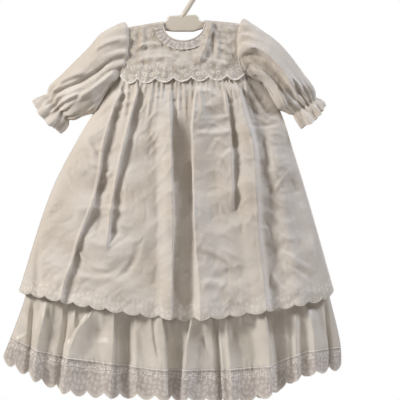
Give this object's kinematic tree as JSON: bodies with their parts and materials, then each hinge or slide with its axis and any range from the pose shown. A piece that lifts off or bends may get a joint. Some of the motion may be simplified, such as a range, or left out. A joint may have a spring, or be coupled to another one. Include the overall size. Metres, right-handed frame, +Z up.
{
  "type": "christening gown on an infant hanger",
  "caption": "Long gathered infant gown with a scalloped yoke, embroidered overskirt, satin flounce with lace border and puff sleeves, hanging on a small plastic hanger.",
  "frame": {"origin": "inner top of the hanger's hook, where a rail carries it", "axes": "+Z up along the hanging gown, +X to the viewer's right facing the gown's front, -Y out of its front"},
  "size_m": [0.5945, 0.0997, 0.7486],
  "materials": {
    "hanger_plastic": "cream moulded plastic, soft gloss",
    "eyelet_cotton": "ivory eyelet-embroidered cotton with corded scallops",
    "embroidered_batiste": "ivory cotton batiste with small embroidered sprigs",
    "plain_cotton": "ivory plain-woven cotton",
    "satin": "ivory satin with a soft sheen",
    "lace": "ivory net lace with floral figures and a corded scalloped edge",
    "pearl_button": "pearl plastic button"
  },
  "bodies": {
    "root": {"hanger": "hanger_plastic", "front_yoke": "eyelet_cotton", "back_yoke_left": "plain_cotton", "back_yoke_right": "plain_cotton", "back_button_1": "pearl_button", "back_button_2": "pearl_button", "back_button_3": "pearl_button", "neck_trim": "lace", "overskirt_front": "embroidered_batiste", "overskirt_back": "embroidered_batiste", "underskirt_front": "plain_cotton", "underskirt_back": "plain_cotton", "flounce_front": "satin", "flounce_back": "satin", "lace_front": "lace", "lace_back": "lace", "sleeve_left": "embroidered_batiste", "sleeve_right": "embroidered_batiste"}
  },
  "joints": []
}
